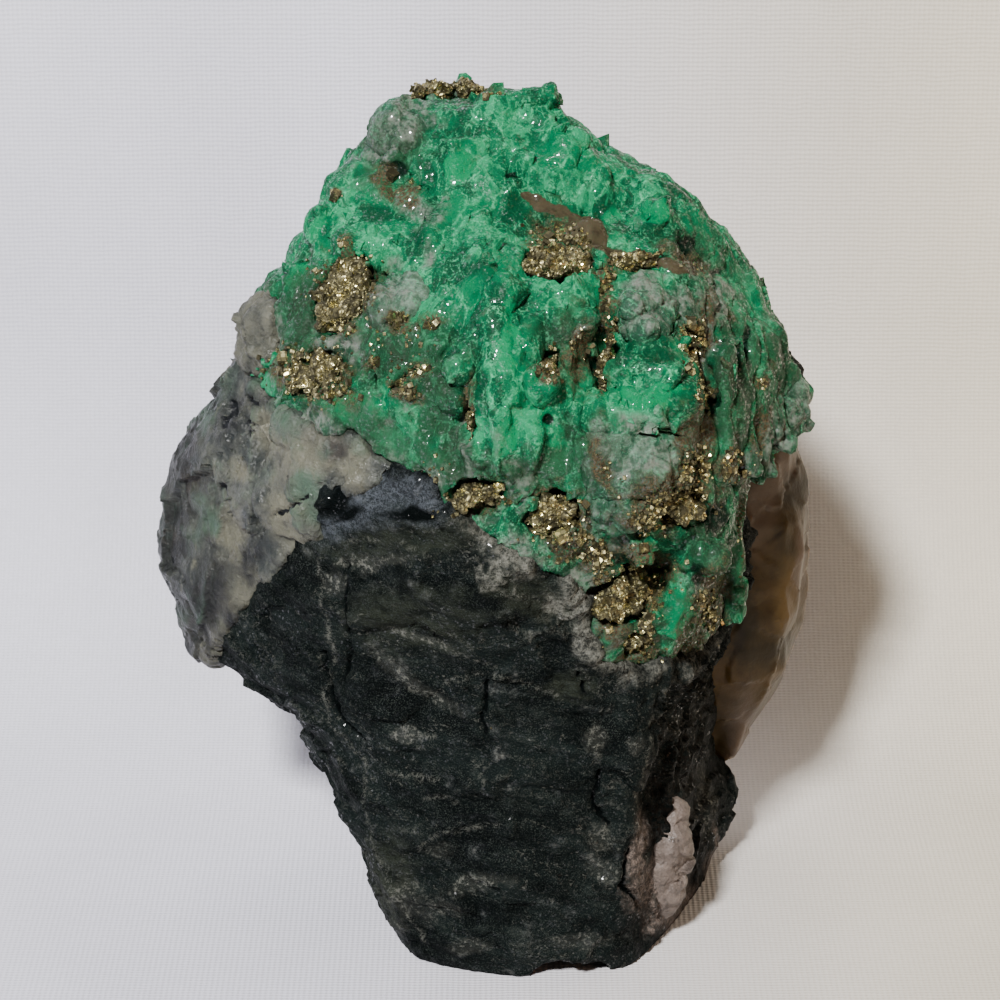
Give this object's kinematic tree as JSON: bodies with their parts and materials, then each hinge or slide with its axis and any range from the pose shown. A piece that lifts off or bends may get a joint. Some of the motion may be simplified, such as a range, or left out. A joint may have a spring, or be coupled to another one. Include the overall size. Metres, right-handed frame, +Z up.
{
  "type": "raw emerald crystal specimen",
  "caption": "Hand-sized mineral specimen: a crust of grown-together green emerald crystals with brassy pyrite and pale calcite on a dark shale matrix, standing on its broken foot.",
  "frame": {"origin": "bottom centre of the specimen's box, on the surface it stands on", "axes": "+Z up along its longest dimension, the emerald face to -Y, the brown calcite at +X and +Y"},
  "size_m": [0.0618, 0.047, 0.0792],
  "materials": {
    "shale": "matt black-grey shale with a faint silky sheen and fine pale veins",
    "calcite": "greyish white calcite, sugary, slightly see-through at thin edges",
    "brown_calcite": "smoky brown calcite, glassy on broken faces and slightly see-through",
    "emerald": "mid green beryl, frosted and sugary with glassy deep green crystal faces",
    "pyrite": "bright brassy glittering pyrite grains, partly tarnished brown"
  },
  "bodies": {
    "root": {"brown_calcite": "brown_calcite", "calcite_crest_grey": "calcite", "calcite_foot_vein": "calcite", "calcite_grey": "calcite", "calcite_knob": "calcite", "calcite_left_edge": "calcite", "calcite_right_shoulder": "calcite", "calcite_shoulder": "calcite", "calcite_upper_left": "calcite", "calcite_upper_right": "calcite", "emerald_crust": "emerald", "pyrite_band": "pyrite", "pyrite_band_low": "pyrite", "pyrite_boss": "pyrite", "pyrite_crack": "pyrite", "pyrite_crest_left": "pyrite", "pyrite_crest_right": "pyrite", "pyrite_flank": "pyrite", "pyrite_foot_of_crust": "pyrite", "pyrite_groove": "pyrite", "pyrite_ledge": "pyrite", "pyrite_left": "pyrite", "pyrite_low": "pyrite", "pyrite_middle_left": "pyrite", "pyrite_seam": "pyrite", "pyrite_seam_left": "pyrite", "pyrite_terrace": "pyrite", "pyrite_upper_left": "pyrite", "shale_matrix": "shale"}
  },
  "joints": []
}
